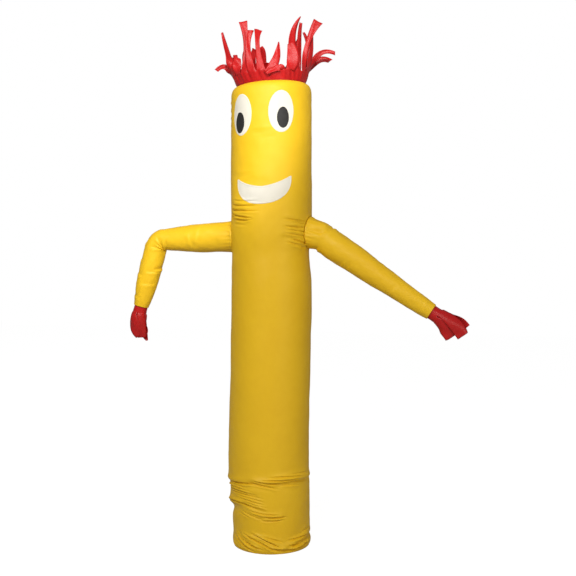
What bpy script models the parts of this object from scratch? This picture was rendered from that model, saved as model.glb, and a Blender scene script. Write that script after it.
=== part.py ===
"""An inflatable air dancer of the six-foot class, standing inflated on its hem.

Metres, +Z up. The origin is at the middle of the hem, on the ground. The face looks along -Y and the
arms leave the body along +X and -X. Angles round the body are in degrees from the face and grow towards +X.
The nylon is far thinner than CLOTH, which gives every sheet a wall that holds as a solid.
"""

import math

import bmesh
import bpy
from mathutils import Matrix, Vector

# Cloth and clearances
CLOTH = 0.0025
PATCH = 0.001
RIBBON = 0.002
GAP = 0.0005
SEAM_GAP = 0.002

# Body: a tube, its crown a little askew
RIM_HEIGHT = 1.5525
RIM_RADIUS = 0.1175
BODY_RADIUS = 0.136
TILT = 0.053
TILT_FROM = 0.55
TILT_TO = 1.02
BODY_COLUMNS = 44

# Arms
SHOULDER_HEIGHT = 1.057
ARMHOLE_RADIUS = 0.052
ARM_COLUMNS = 16

# Face
EYE_LEVEL = 1.449
EYE_WIDTH = 0.085
EYE_HEIGHT = 0.134
PUPIL_WIDTH = 0.039
PUPIL_HEIGHT = 0.067
SMILE_ANGLE = 2.0
SMILE_LEVEL = 1.236
SMILE_HALF_WIDTH = 0.099
SMILE_UPPER_SAG = 0.0255
SMILE_LOWER_SAG = 0.0825
SMILE_TIP = 0.007

# Hair: a collar sewn inside the rim, flared and slit into strips
HAIR_COLLAR = 0.034
HAIR_FLARE = 0.012
HAIR_OVERLAP = 0.012
HAIR_SLIT = 0.16
HAIR_STEPS = 8

# Hands: a cuff sewn inside the wrist, slit into strips
HAND_COLLAR = 0.024
HAND_OVERLAP = 0.010
HAND_SLIT = 0.12
HAND_STEPS = 6

YELLOW = (0.95, 0.72, 0.03)
RED = (0.72, 0.02, 0.02)
WHITE = (0.90, 0.88, 0.82)
BLACK = (0.02, 0.02, 0.02)

# height, radius, sway of the axis along X
BODY_SECTIONS = (
    (0.000, 0.1295, 0.000),
    (0.010, 0.1335, 0.000),
    (0.024, 0.1340, 0.000),
    (0.044, 0.1320, 0.000),
    (0.090, 0.1325, -0.001),
    (0.130, 0.1335, -0.002),
    (0.165, 0.1350, -0.004),
    (0.205, 0.1360, -0.007),
    (0.236, 0.1373, -0.010),
    (0.340, 0.1373, -0.010),
    (0.460, 0.1370, -0.0075),
    (0.580, 0.1365, -0.0045),
    (0.690, 0.1362, -0.002),
    (0.780, 0.1362, 0.000),
    (0.895, 0.1358, 0.000),
    (0.945, 0.1335, -0.002),
    (0.995, 0.1310, -0.003),
    (1.050, 0.1345, 0.000),
    (1.120, 0.1365, 0.000),
    (1.300, 0.1360, 0.000),
    (1.500, 0.1360, 0.000),
    (1.524, 0.1355, 0.000),
    (1.535, 0.1335, 0.000),
    (1.544, 0.1295, 0.000),
    (1.550, 0.1235, 0.000),
    (RIM_HEIGHT, RIM_RADIUS, 0.000),
)

# from height, to height, rows between them
BODY_ROWS = (
    (0.000, 0.040, 4),
    (0.040, 0.260, 21),
    (0.260, 0.340, 2),
    (0.340, 0.895, 4),
    (0.895, 1.020, 3),
    (1.020, 1.180, 11),
    (1.180, 1.500, 3),
    (1.500, 1.535, 2),
    (1.535, RIM_HEIGHT, 3),
)

# from angle, from height, to angle, to height, half width, lift above, drop below, dent along the line
BODY_FOLDS = (
    (-104.0, 0.212, -10.0, 0.236, 0.010, 0.0040, 0.0015, 0.0035),
    (-24.0, 0.236, 52.0, 0.234, 0.010, 0.0045, 0.0010, 0.0035),
    (22.0, 0.240, 112.0, 0.228, 0.011, 0.0060, 0.0000, 0.0035),
    (-14.0, 0.240, 26.0, 0.218, 0.009, 0.0015, 0.0025, 0.0020),
    (-84.0, 0.204, 6.0, 0.194, 0.010, 0.0025, 0.0025, 0.0025),
    (-66.0, 0.186, 0.0, 0.170, 0.009, 0.0010, 0.0015, 0.0015),
    (-134.0, 0.112, -16.0, 0.164, 0.014, 0.0070, 0.0065, 0.0020),
    (-34.0, 0.172, 12.0, 0.140, 0.010, 0.0035, 0.0015, 0.0025),
    (-28.0, 0.142, 6.0, 0.118, 0.009, 0.0025, 0.0010, 0.0025),
    (-8.0, 0.121, 40.0, 0.121, 0.009, 0.0030, 0.0005, 0.0020),
    (-60.0, 0.056, -14.0, 0.010, 0.008, 0.0030, 0.0010, 0.0020),
    (-44.0, 0.062, 0.0, 0.010, 0.008, 0.0035, 0.0010, 0.0025),
    (-16.0, 0.060, 38.0, 0.010, 0.009, 0.0030, 0.0010, 0.0020),
    (16.0, 0.006, 96.0, 0.050, 0.010, 0.0040, 0.0000, 0.0040),
    (64.0, 0.034, 158.0, 0.034, 0.010, 0.0015, 0.0000, 0.0085),
    (104.0, 0.226, 246.0, 0.236, 0.012, 0.0035, 0.0025, 0.0020),
    (138.0, 0.150, 228.0, 0.126, 0.014, 0.0045, 0.0050, 0.0015),
    (170.0, 0.062, 262.0, 0.024, 0.010, 0.0035, 0.0020, 0.0020),
    (-76.0, 1.170, -20.0, 1.150, 0.012, 0.0010, 0.0010, 0.0015),
    (-74.0, 1.146, -14.0, 1.132, 0.012, 0.0020, 0.0020, 0.0020),
    (-70.0, 1.122, -8.0, 1.104, 0.014, 0.0035, 0.0030, 0.0025),
    (26.0, 1.104, 66.0, 1.092, 0.011, 0.0020, 0.0015, 0.0015),
    (28.0, 1.076, 62.0, 1.070, 0.011, 0.0020, 0.0020, 0.0020),
    (22.0, 1.048, 64.0, 1.036, 0.012, 0.0025, 0.0020, 0.0020),
)

# name, eye angle, pupil angle, pupil height
EYES = (
    ("left", -31.2, -33.6, 1.424),
    ("right", 28.8, 31.0, 1.429),
)

# distance along the arm, radius, rise of the middle over the straight line to the wrist
ARM_RIGHT_SHAPE = (
    (0.000, 0.0505, 0.0040),
    (0.042, 0.0490, 0.0095),
    (0.066, 0.0475, 0.0090),
    (0.100, 0.0490, 0.0065),
    (0.180, 0.0460, 0.0060),
    (0.280, 0.0400, 0.0030),
    (0.373, 0.0345, 0.0010),
    (0.450, 0.0305, 0.0000),
    (0.481, 0.0275, 0.0000),
)
ARM_RIGHT_WRIST = Vector((0.540, -0.004, 0.8025))

ARM_LEFT_SHAPE = (
    (0.000, 0.0520, 0.0000),
    (0.060, 0.0505, 0.0000),
    (0.125, 0.0485, 0.0000),
    (0.190, 0.0430, 0.0000),
    (0.240, 0.0385, 0.0000),
    (0.300, 0.0385, 0.0000),
    (0.380, 0.0385, 0.0000),
    (0.430, 0.0365, 0.0000),
    (0.485, 0.0305, 0.0000),
    (0.508, 0.0265, 0.0000),
)
ARM_LEFT_ELBOW_CREASE = Vector((-0.380, 0.000, 0.999))
ARM_LEFT_ELBOW_PINCH = 0.0035
ARM_LEFT_WRIST = Vector((-0.476, 0.000, 0.8075))

# Strips of hair round the collar, from the back by way of -X. From its root each passes a middle and
# ends at a tip: x, y, z of the middle, x, y, z of the tip, twist in degrees, width midway, width at the tip
HAIR_LINES = (
    (0.000, 0.050, 0.030, 0.010, 0.105, 0.012, 40.0, 0.022, 0.026),
    (0.000, 0.044, 0.026, -0.010, 0.096, -0.004, -40.0, 0.022, 0.026),
    (-0.006, 0.012, 0.074, -0.014, 0.020, 0.134, 80.0, 0.020, 0.024),
    (-0.004, 0.010, 0.068, -0.010, 0.016, 0.128, -70.0, 0.018, 0.024),
    (0.000, 0.008, 0.068, -0.007, 0.014, 0.114, 80.0, 0.020, 0.024),
    (-0.014, 0.010, 0.048, -0.028, 0.016, 0.094, -60.0, 0.020, 0.024),
    (-0.015, 0.006, 0.010, -0.023, 0.012, -0.010, 10.0, 0.022, 0.020),
    (-0.030, 0.000, 0.032, -0.066, -0.004, 0.020, 34.0, 0.022, 0.018),
    (-0.024, -0.004, 0.088, -0.046, -0.008, 0.148, -20.0, 0.022, 0.020),
    (-0.018, -0.004, 0.054, -0.036, -0.010, 0.088, -30.0, 0.024, 0.020),
    (0.006, -0.006, 0.088, 0.000, -0.010, 0.166, -115.0, 0.020, 0.027),
    (-0.006, 0.006, 0.070, -0.004, 0.010, 0.140, -110.0, 0.018, 0.026),
    (-0.014, -0.002, 0.077, -0.012, 0.002, 0.138, -145.0, 0.016, 0.027),
    (0.014, -0.002, 0.048, 0.026, -0.006, 0.094, 85.0, 0.022, 0.008),
    (-0.012, -0.036, 0.010, -0.048, -0.052, -0.006, 10.0, 0.022, 0.020),
    (-0.003, -0.004, 0.086, 0.036, -0.010, 0.172, 62.0, 0.026, 0.010),
    (0.007, 0.004, 0.080, 0.012, 0.010, 0.156, 48.0, 0.020, 0.020),
    (0.008, -0.006, 0.096, 0.050, -0.012, 0.166, 90.0, 0.020, 0.027),
    (0.014, 0.000, 0.074, 0.016, 0.004, 0.132, 30.0, 0.022, 0.022),
    (0.034, -0.004, 0.047, 0.074, -0.008, 0.054, 60.0, 0.022, 0.022),
    (0.042, 0.004, 0.076, 0.092, 0.008, 0.078, 160.0, 0.022, 0.018),
    (0.048, 0.010, 0.044, 0.088, 0.016, 0.040, 150.0, 0.020, 0.016),
    (0.010, 0.008, 0.088, 0.016, 0.012, 0.152, -70.0, 0.018, 0.024),
    (0.010, 0.012, 0.090, 0.030, 0.020, 0.132, 80.0, 0.018, 0.022),
)

# Strips of a hand round its cuff, from the back by way of the arm's lower side on the left hand and
# its upper side on the right one, with the columns of the hair
HAND_LEFT_LINES = (
    (0.004, 0.003, -0.052, 0.027, 0.001, -0.098, 60.0, 0.014, 0.008),
    (-0.001, -0.003, -0.040, 0.000, -0.005, -0.076, -8.0, 0.017, 0.012),
    (-0.001, 0.004, -0.040, 0.001, 0.010, -0.078, 8.0, 0.019, 0.013),
    (-0.003, 0.001, -0.044, 0.010, 0.003, -0.084, -8.0, 0.021, 0.015),
    (-0.005, -0.002, -0.044, 0.012, -0.003, -0.086, 8.0, 0.018, 0.013),
)
HAND_RIGHT_LINES = (
    (0.046, 0.000, -0.030, 0.078, -0.010, -0.075, 10.0, 0.020, 0.018),
    (0.042, 0.000, -0.026, 0.081, 0.000, -0.050, -8.0, 0.023, 0.021),
    (0.044, -0.005, -0.027, 0.084, -0.002, -0.061, 10.0, 0.022, 0.021),
    (0.037, -0.005, -0.024, 0.062, 0.000, -0.065, -8.0, 0.021, 0.021),
    (0.030, 0.000, -0.016, 0.040, -0.003, -0.050, 8.0, 0.020, 0.018),
)


def clear_scene():
    for item in list(bpy.data.objects):
        bpy.data.objects.remove(item)


def material(name, colour, roughness):
    made = bpy.data.materials.new(name)
    made.use_nodes = True
    shader = made.node_tree.nodes["Principled BSDF"]
    shader.inputs["Base Color"].default_value = (*colour, 1.0)
    shader.inputs["Roughness"].default_value = roughness
    shader.inputs["Metallic"].default_value = 0.0
    return made


def add_object(name, points, faces, finish):
    mesh = bpy.data.meshes.new(name)
    mesh.from_pydata([tuple(p) for p in points], [], faces)
    bm = bmesh.new()
    bm.from_mesh(mesh)
    bmesh.ops.recalc_face_normals(bm, faces=bm.faces)
    bm.to_mesh(mesh)
    bm.free()
    mesh.shade_smooth()
    mesh.set_sharp_from_angle(angle=math.radians(40))
    made = bpy.data.objects.new(name, mesh)
    made.data.materials.append(finish)
    bpy.context.scene.collection.objects.link(made)
    return made


def ramp(value, low, high):
    """0 below low, 1 above high, smooth between."""
    t = min(1.0, max(0.0, (value - low) / (high - low)))
    return t * t * (3 - 2 * t)


def smooth(table, at, column):
    """The table's column at a place along its first column, on a smooth curve through its rows."""
    i = 0
    while i < len(table) - 2 and at > table[i + 1][0]:
        i += 1
    before, low = table[max(i - 1, 0)], table[i]
    high, after = table[i + 1], table[min(i + 2, len(table) - 1)]
    span = high[0] - low[0]
    t = min(1.0, max(0.0, (at - low[0]) / span))
    slope_low = (high[column] - before[column]) / (high[0] - before[0]) * span
    slope_high = (after[column] - low[column]) / (after[0] - low[0]) * span
    return (
        (2 * t**3 - 3 * t**2 + 1) * low[column]
        + (t**3 - 2 * t**2 + t) * slope_low
        + (3 * t**2 - 2 * t**3) * high[column]
        + (t**3 - t**2) * slope_high
    )


def fold_height(angle, height):
    """How far the folds lift the cloth outwards at a place on the body."""
    metres = math.radians(1.0) * BODY_RADIUS
    total = 0.0
    for from_angle, from_height, to_angle, to_height, half, lift, drop, dent in BODY_FOLDS:
        span, rise = (to_angle - from_angle) * metres, to_height - from_height
        middle = (from_angle + to_angle) / 2
        turn = ((angle - middle + 180) % 360 - 180 + middle - from_angle) * metres
        length = math.hypot(span, rise)
        share = (turn * span + (height - from_height) * rise) / length**2
        across = ((height - from_height) * span - turn * rise) / length / half
        if not 0.0 < share < 1.0 or abs(across) > 4:
            continue
        bump = abs(across) * math.exp(0.5 * (1 - across**2))
        size = lift if across > 0 else -drop
        fade = ramp(share, 0.0, 0.3) * ramp(1 - share, 0.0, 0.3)
        total += fade * (size * bump - dent * math.exp(-2 * across**2))
    return total


def body_point(angle, height, out=0.0):
    """A point of the body's cloth, or out metres off it."""
    around, step = math.radians(angle), 0.001
    rise = smooth(BODY_SECTIONS, height + step, 1) - smooth(BODY_SECTIONS, height - step, 1)
    slope = rise / (2 * step)
    lean = math.hypot(1.0, slope)
    radius = smooth(BODY_SECTIONS, height, 1) + fold_height(angle, height) + out / lean
    x = smooth(BODY_SECTIONS, height, 2) + radius * math.sin(around)
    z = height - out * slope / lean + TILT * ramp(height, TILT_FROM, TILT_TO) * x
    return Vector((x, -radius * math.cos(around), z))


def shell(outer, inner):
    """The points and faces of an open tube's wall, from its rings outside and inside, first to last."""
    columns, rows = len(outer[0]), len(outer)
    points = [p for ring in outer + inner for p in ring]
    faces = []
    for i in range(columns):
        j = (i + 1) % columns
        for row in range(rows - 1):
            low, high = row * columns, (row + 1) * columns
            faces.append((low + i, low + j, high + j, high + i))
            low, high = low + rows * columns, high + rows * columns
            faces.append((low + j, low + i, high + i, high + j))
        first, last = rows * columns, (rows - 1) * columns
        faces.append((j, i, first + i, first + j))
        faces.append((last + i, last + j, first + last + j, first + last + i))
    return points, faces


def body_tube(finish):
    angles = [360.0 * i / BODY_COLUMNS for i in range(BODY_COLUMNS)]
    heights = [BODY_ROWS[0][0]]
    for low, high, rows in BODY_ROWS:
        heights += [low + (high - low) * (i + 1) / rows for i in range(rows)]
    outer = [[body_point(a, h) for a in angles] for h in heights]
    inner = [[body_point(a, h, -CLOTH) for a in angles] for h in heights]
    for point in outer[0] + inner[0]:
        point.z = 0.0
    body = add_object("body_tube", *shell(outer, inner), finish)
    for side in (-1, 1):
        cut_armhole(body, side)


def armhole_centre(side):
    x = side * smooth(BODY_SECTIONS, SHOULDER_HEIGHT, 1)
    return Vector((x, 0.0, SHOULDER_HEIGHT + TILT * x))


def cut_armhole(body, side):
    """Opens the body's wall into the arm."""
    bm = bmesh.new()
    hole = ARMHOLE_RADIUS - CLOTH
    bmesh.ops.create_cone(bm, cap_ends=True, segments=28, radius1=hole, radius2=hole, depth=0.1)
    place = Matrix.Translation(armhole_centre(side)) @ Matrix.Rotation(math.pi / 2, 4, "Y")
    bmesh.ops.transform(bm, matrix=place, verts=bm.verts)
    mesh = bpy.data.meshes.new("armhole_cutter")
    bm.to_mesh(mesh)
    bm.free()
    cutter = bpy.data.objects.new("armhole_cutter", mesh)
    cutter.hide_render = True
    cutter.display_type = "WIRE"
    bpy.context.scene.collection.objects.link(cutter)
    cut = body.modifiers.new("armhole", "BOOLEAN")
    cut.operation = "DIFFERENCE"
    cut.solver = "EXACT"
    cut.object = cutter


def armhole_ring(side, radius):
    """A round outline on the body's side, seen along X, just off the cloth."""
    ring = []
    for i in range(ARM_COLUMNS):
        turn = 2 * math.pi * i / ARM_COLUMNS
        height = SHOULDER_HEIGHT + radius * math.cos(turn)
        forward = radius * math.sin(turn) / smooth(BODY_SECTIONS, height, 1)
        angle = side * (90.0 - math.degrees(math.asin(forward)))
        ring.append(body_point(angle, height, SEAM_GAP))
    return ring


def arm_ring(side, centre, along, radius):
    """A ring across an arm. Its first point is on the upper side and it turns towards the face."""
    front = Vector((0.0, -1.0, 0.0))
    upper = side * front.cross(along).normalized()
    turns = [2 * math.pi * i / ARM_COLUMNS for i in range(ARM_COLUMNS)]
    return [centre + radius * (math.cos(t) * upper + math.sin(t) * front) for t in turns]


def arm_rings(side, stations, shape, inset):
    """The rings of an arm's wall, from the armhole through stations of (place, direction) to the wrist."""
    rings = [armhole_ring(side, ARMHOLE_RADIUS - inset)]
    before, walked = armhole_centre(side), 0.0
    for place, along in stations:
        walked += (place - before).length
        before = place
        radius = smooth(shape, walked, 1) - inset
        lifted = place + Vector((0.0, 0.0, smooth(shape, walked, 2)))
        rings.append(arm_ring(side, lifted, along, radius))
    return rings


def arm_right_stations():
    start, end = armhole_centre(1), ARM_RIGHT_WRIST
    span = end - start
    shares = (0.105, 0.137, 0.172, 0.215, 0.31, 0.44, 0.58, 0.72, 0.86, 0.93, 1.0)
    return [(start + span * share, span.normalized()) for share in shares]


def arm_left_stations():
    """Along the upper arm, round the elbow about its inner crease, and down the forearm."""
    start, crease, wrist = armhole_centre(-1), ARM_LEFT_ELBOW_CREASE, ARM_LEFT_WRIST
    reach = smooth(ARM_LEFT_SHAPE, 0.270, 1) + ARM_LEFT_ELBOW_PINCH
    first = (crease + Vector((0.0, 0.0, reach)) - start).normalized()
    forearm = wrist - crease
    last = Matrix.Rotation(-math.asin(reach / forearm.length), 3, "Y") @ forearm.normalized()
    bend, turns = first.angle(last), 6
    stations = []
    corner = crease + reach * Vector((first.z, 0.0, -first.x))
    for share in (0.16, 0.36, 0.56, 0.76, 0.91):
        stations.append((start.lerp(corner, share), first))
    for i in range(turns):
        along = Matrix.Rotation(-bend * i / (turns - 1), 3, "Y") @ first
        corner = crease + reach * Vector((along.z, 0.0, -along.x))
        stations.append((corner, along))
    for share in (0.2, 0.45, 0.68, 0.86, 1.0):
        stations.append((corner.lerp(wrist, share), last))
    return stations


def arm(name, side, stations, shape, finish):
    outer = arm_rings(side, stations, shape, 0.0)
    inner = arm_rings(side, stations, shape, CLOTH)
    add_object(name, *shell(outer, inner), finish)


def laid_on(name, rows, closed, finish):
    """A sheet on the body from rows of (angle, height, out). Closed rows join their ends and start at a point."""
    points, faces, start = [], [], []
    for row in rows:
        start.append(len(points))
        for angle, height, out in row:
            points += [body_point(angle, height, out), body_point(angle, height, out + PATCH)]
    count = len(rows[-1])
    for low, high in zip(range(len(rows) - 1), range(1, len(rows))):
        for i in range(count if closed else count - 1):
            j = (i + 1) % count
            below = (i, j) if len(rows[low]) > 1 else (0, 0)
            for layer in (0, 1):
                corners = [start[low] + 2 * k + layer for k in below]
                corners += [start[high] + 2 * j + layer, start[high] + 2 * i + layer]
                faces.append(tuple(dict.fromkeys(corners)))
    edge = [start[-1] + 2 * i for i in range(count)]
    if not closed:
        edge = edge[::-1] + start[-2:0:-1] + [2 * i for i in range(count)]
        edge += [first + 2 * (count - 1) for first in start[1:-1]]
    for a, b in zip(edge, edge[1:] + edge[:1]):
        faces.append((a, b, b + 1, a + 1))
    add_object(name, points, faces, finish)


def oval(name, angle, height, wide, tall, out, finish):
    """An oval of cloth on the body."""
    columns, rings = 20, 3
    rows = [[(angle, height, out)]]
    for ring in range(1, rings + 1):
        share, row = ring / rings, []
        for i in range(columns):
            turn = 2 * math.pi * i / columns
            across = math.degrees(share * wide / 2 * math.sin(turn) / BODY_RADIUS)
            row.append((angle + across, height + share * tall / 2 * math.cos(turn), out))
        rows.append(row)
    laid_on(name, rows, True, finish)


def smile(finish):
    """A crescent of cloth with blunt, upturned tips."""
    columns, layers = 15, 3
    rows = []
    for layer in range(layers + 1):
        row = []
        for i in range(columns):
            along = -1 + 2 * i / (columns - 1)
            low = SMILE_LEVEL - SMILE_LOWER_SAG * (1 - abs(along) ** 2.2) ** 0.45
            high = SMILE_LEVEL - SMILE_UPPER_SAG * (1 - along**2) + SMILE_TIP * abs(along)
            angle = SMILE_ANGLE + math.degrees(along * SMILE_HALF_WIDTH / BODY_RADIUS)
            row.append((angle, low + (high - low) * layer / layers, GAP))
        rows.append(row)
    laid_on("smile", rows, False, finish)


def through(first, middle, last, t):
    """A value on the curve from first, through middle at a half, to last."""
    return (1 - t) * (1 - 2 * t) * first + 4 * t * (1 - t) * middle + t * (2 * t - 1) * last


def strip_sections(root, side, line, steps, width):
    """The four-cornered sections of a strip of cloth along its line, past its root."""
    middle, tip = root + Vector(line[0:3]), root + Vector(line[3:6])
    twist, middle_width, tip_width = line[6:9]
    places = [through(root, middle, tip, i / steps) for i in range(steps + 1)]
    across, sections = side, []
    for i in range(1, steps + 1):
        place = places[i]
        along = (places[min(i + 1, steps)] - places[i - 1]).normalized()
        across = (across - across.dot(along) * along).normalized()
        across = Matrix.Rotation(math.radians(twist / steps), 3, along) @ across
        half = across * through(width, middle_width, tip_width, i / steps) / 2
        thick = across.cross(along) * RIBBON / 2
        sections.append([place - half + thick, place + half + thick, place + half - thick, place - half - thick])
    return sections


def fringe(name, centre, axes, rings, slit, lines, steps, finish):
    """A collar of cloth round rings of (distance along, radius), its last edge slit into strips."""
    first, second, along = axes
    pitch, points, faces = 2 * math.pi / len(lines), [], []
    middles = [pitch * k - math.pi for k in range(len(lines))]
    turns = [m + half * pitch * (1 - slit) for m in middles for half in (-0.5, 0.5)]
    size = len(turns)
    for at, radius in rings:
        for inset in (0.0, RIBBON):
            for turn in turns:
                out = math.cos(turn) * first + math.sin(turn) * second
                points.append(centre + at * along + (radius - inset) * out)
    for i in range(size):
        j = (i + 1) % size
        for ring in range(len(rings) - 1):
            low, high = 2 * size * ring, 2 * size * (ring + 1)
            faces.append((low + i, low + j, high + j, high + i))
            faces.append((low + size + j, low + size + i, high + size + i, high + size + j))
        faces.append((j, i, size + i, size + j))
    top = 2 * size * (len(rings) - 1)
    for k, line in enumerate(lines):
        i, j, after = top + 2 * k, top + 2 * k + 1, top + (2 * k + 2) % size
        faces.append((j, after, after + size, j + size))
        below = [i, j, j + size, i + size]
        root = sum((points[corner] for corner in below), Vector()) / 4
        side = math.cos(middles[k]) * second - math.sin(middles[k]) * first
        width = (points[i] - points[j]).length
        for section in strip_sections(root, side, line, steps, width):
            above = list(range(len(points), len(points) + 4))
            points += section
            for a in range(4):
                b = (a + 1) % 4
                faces.append((below[a], below[b], above[b], above[a]))
            below = above
        faces.append(tuple(below))
    add_object(name, points, faces, finish)


def hair(finish):
    along = Vector((-TILT, 0.0, 1.0)).normalized()
    axes = (Vector((0.0, -1.0, 0.0)), Vector((1.0, 0.0, TILT)).normalized(), along)
    radius = RIM_RADIUS - CLOTH - 2 * GAP
    rings = ((-HAIR_OVERLAP, radius), (GAP, radius), (HAIR_COLLAR, radius + HAIR_FLARE))
    place = Vector((0.0, 0.0, RIM_HEIGHT))
    fringe("hair", place, axes, rings, HAIR_SLIT, HAIR_LINES, HAIR_STEPS, finish)


def hand(name, wrist, along, radius, lines, finish):
    front = Vector((0.0, -1.0, 0.0))
    axes = (front, along.cross(front).normalized(), along)
    radius -= CLOTH + 2 * GAP
    rings = ((-HAND_OVERLAP, radius), (HAND_COLLAR, radius))
    fringe(name, wrist, axes, rings, HAND_SLIT, lines, HAND_STEPS, finish)


def face(white, black):
    """Two oval eyes with pupils, and a smile, sewn on the head."""
    for name, eye_angle, pupil_angle, pupil_height in EYES:
        oval(f"eye_{name}", eye_angle, EYE_LEVEL, EYE_WIDTH, EYE_HEIGHT, GAP, white)
        out = 2 * GAP + PATCH
        oval(f"pupil_{name}", pupil_angle, pupil_height, PUPIL_WIDTH, PUPIL_HEIGHT, out, black)
    smile(white)


def build():
    clear_scene()
    yellow = material("yellow_nylon", YELLOW, 0.45)
    red = material("red_nylon", RED, 0.5)
    white = material("white_cloth", WHITE, 0.6)
    black = material("black_cloth", BLACK, 0.5)
    body_tube(yellow)
    right, left = arm_right_stations(), arm_left_stations()
    arm("arm_right", 1, right, ARM_RIGHT_SHAPE, yellow)
    arm("arm_left", -1, left, ARM_LEFT_SHAPE, yellow)
    hand("hand_right", *right[-1], ARM_RIGHT_SHAPE[-1][1], HAND_RIGHT_LINES, red)
    hand("hand_left", *left[-1], ARM_LEFT_SHAPE[-1][1], HAND_LEFT_LINES, red)
    hair(red)
    face(white, black)


build()
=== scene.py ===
"""The looks of an inflatable air dancer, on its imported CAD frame.

Metres, +Z up, in the CAD's frame. The face looks along -Y. Angles round the body are in degrees from the
face and grow towards +X. Every cloth is one layer of fine mesh on the form that its solid has.
"""

import math

import bmesh
import bpy
import numpy as np
from mathutils import Matrix, Vector

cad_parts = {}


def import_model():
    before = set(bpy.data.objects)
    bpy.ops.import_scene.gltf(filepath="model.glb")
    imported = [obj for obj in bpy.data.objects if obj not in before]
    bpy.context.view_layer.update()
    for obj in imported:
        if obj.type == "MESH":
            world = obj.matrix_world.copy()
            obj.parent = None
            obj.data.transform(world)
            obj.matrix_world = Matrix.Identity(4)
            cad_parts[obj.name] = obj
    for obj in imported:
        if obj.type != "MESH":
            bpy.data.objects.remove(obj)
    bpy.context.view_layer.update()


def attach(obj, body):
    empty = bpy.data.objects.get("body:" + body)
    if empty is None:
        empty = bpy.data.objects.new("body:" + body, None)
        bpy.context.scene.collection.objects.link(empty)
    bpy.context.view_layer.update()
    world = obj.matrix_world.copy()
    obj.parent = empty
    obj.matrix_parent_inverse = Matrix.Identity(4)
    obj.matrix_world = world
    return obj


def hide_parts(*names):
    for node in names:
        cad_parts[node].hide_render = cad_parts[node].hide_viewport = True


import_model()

# Camera: 3.05 m away, 15 degrees round to +X, 1 m up, 897 pixels of focal length on 576
CAMERA_AWAY = 3.05
CAMERA_ROUND = math.radians(15.0)
CAMERA_HEIGHT = 1.0
CAMERA_DOWN = math.radians(2.35)
CAMERA_ASIDE = math.radians(1.055)
CAMERA_LENS = 897 / 576 * 36
TOWARD = Vector((math.sin(CAMERA_ROUND), -math.cos(CAMERA_ROUND), 0.0))
ASIDE = Vector((math.cos(CAMERA_ROUND), math.sin(CAMERA_ROUND), 0.0))

# The strong light, and two places on the edge of what it reaches
KEY_PLACE = (1.25, -3.2, 2.9)
KEY_EDGE_LOW = (-0.425, -0.114, 0.755)
KEY_EDGE_HIGH = (0.1265, 0.034, 1.178)
KEY_HALF_ANGLE = 20.0
KEY_POWER = 420.0

# Body, as in the CAD
RIM_HEIGHT = 1.5525
RIM_RADIUS = 0.1175
BODY_RADIUS = 0.136
TILT = 0.053
TILT_FROM = 0.55
TILT_TO = 1.02
BODY_FRONT = 116.0
BODY_FRONT_COLUMNS = 200
BODY_BACK_COLUMNS = 52
HEM_LIP = 0.018
BODY_GIRTH = 0.854

# The edges turned in at the hem, the crown and the wrists: metres inward, metres up or back
HEM_TURN = ((0.0008, 0.0003), (0.0018, 0.0016), (0.0021, 0.005), (0.0021, HEM_LIP))
CROWN_TURN = ((0.0009, -0.0004), (0.0016, 0.0012), (0.0016, 0.007))
WRIST_TURN = ((0.0009, -0.0004), (0.0013, 0.001), (0.0013, 0.006))

SHOULDER_HEIGHT = 1.057
ARMHOLE_RADIUS = 0.052
ARM_COLUMNS = 96
SEAM_GAP = 0.0012
ARM_FLANGE = 0.0035
ARM_LEAD_ROWS = 18
ARM_MEAN_RADIUS = 0.042
ARM_FLAT_RADIUS = 0.045
WRIST_RADIUS = 0.027

EYE_LEVEL = 1.449
EYE_WIDTH = 0.085
EYE_HEIGHT = 0.134
PUPIL_WIDTH = 0.039
PUPIL_HEIGHT = 0.067
SMILE_ANGLE = 2.0
SMILE_LEVEL = 1.236
SMILE_HALF_WIDTH = 0.099
SMILE_UPPER_SAG = 0.0255
SMILE_LOWER_SAG = 0.0825
SMILE_TIP = 0.007
SMILE_ROUNDING = 0.94

CLOTH = 0.0025
GAP = 0.0005
RIBBON = 0.002
HAIR_COLLAR = 0.034
HAIR_FLARE = 0.012
HAIR_OVERLAP = 0.012
HAIR_SLIT = 0.16
HAND_COLLAR = 0.024
HAND_OVERLAP = 0.010
HAND_SLIT = 0.12

# height, radius, sway of the axis along X
BODY_SECTIONS = (
    (0.000, 0.1295, 0.000),
    (0.010, 0.1335, 0.000),
    (0.024, 0.1340, 0.000),
    (0.044, 0.1320, 0.000),
    (0.090, 0.1325, -0.001),
    (0.130, 0.1335, -0.002),
    (0.165, 0.1350, -0.004),
    (0.205, 0.1360, -0.007),
    (0.236, 0.1373, -0.010),
    (0.340, 0.1373, -0.010),
    (0.460, 0.1370, -0.0075),
    (0.580, 0.1365, -0.0045),
    (0.690, 0.1362, -0.002),
    (0.780, 0.1362, 0.000),
    (0.895, 0.1358, 0.000),
    (0.945, 0.1335, -0.002),
    (0.995, 0.1310, -0.003),
    (1.050, 0.1345, 0.000),
    (1.120, 0.1365, 0.000),
    (1.300, 0.1360, 0.000),
    (1.500, 0.1360, 0.000),
    (1.524, 0.1355, 0.000),
    (1.535, 0.1335, 0.000),
    (1.544, 0.1295, 0.000),
    (1.550, 0.1235, 0.000),
    (RIM_HEIGHT, RIM_RADIUS, 0.000),
)

# from height, to height, rows between them
BODY_ROWS = (
    (0.000, 0.060, 48),
    (0.060, 0.265, 140),
    (0.265, 0.340, 12),
    (0.340, 0.895, 22),
    (0.895, 1.005, 14),
    (1.005, 1.180, 84),
    (1.180, 1.500, 40),
    (1.500, 1.535, 10),
    (1.535, RIM_HEIGHT, 12),
)

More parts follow.
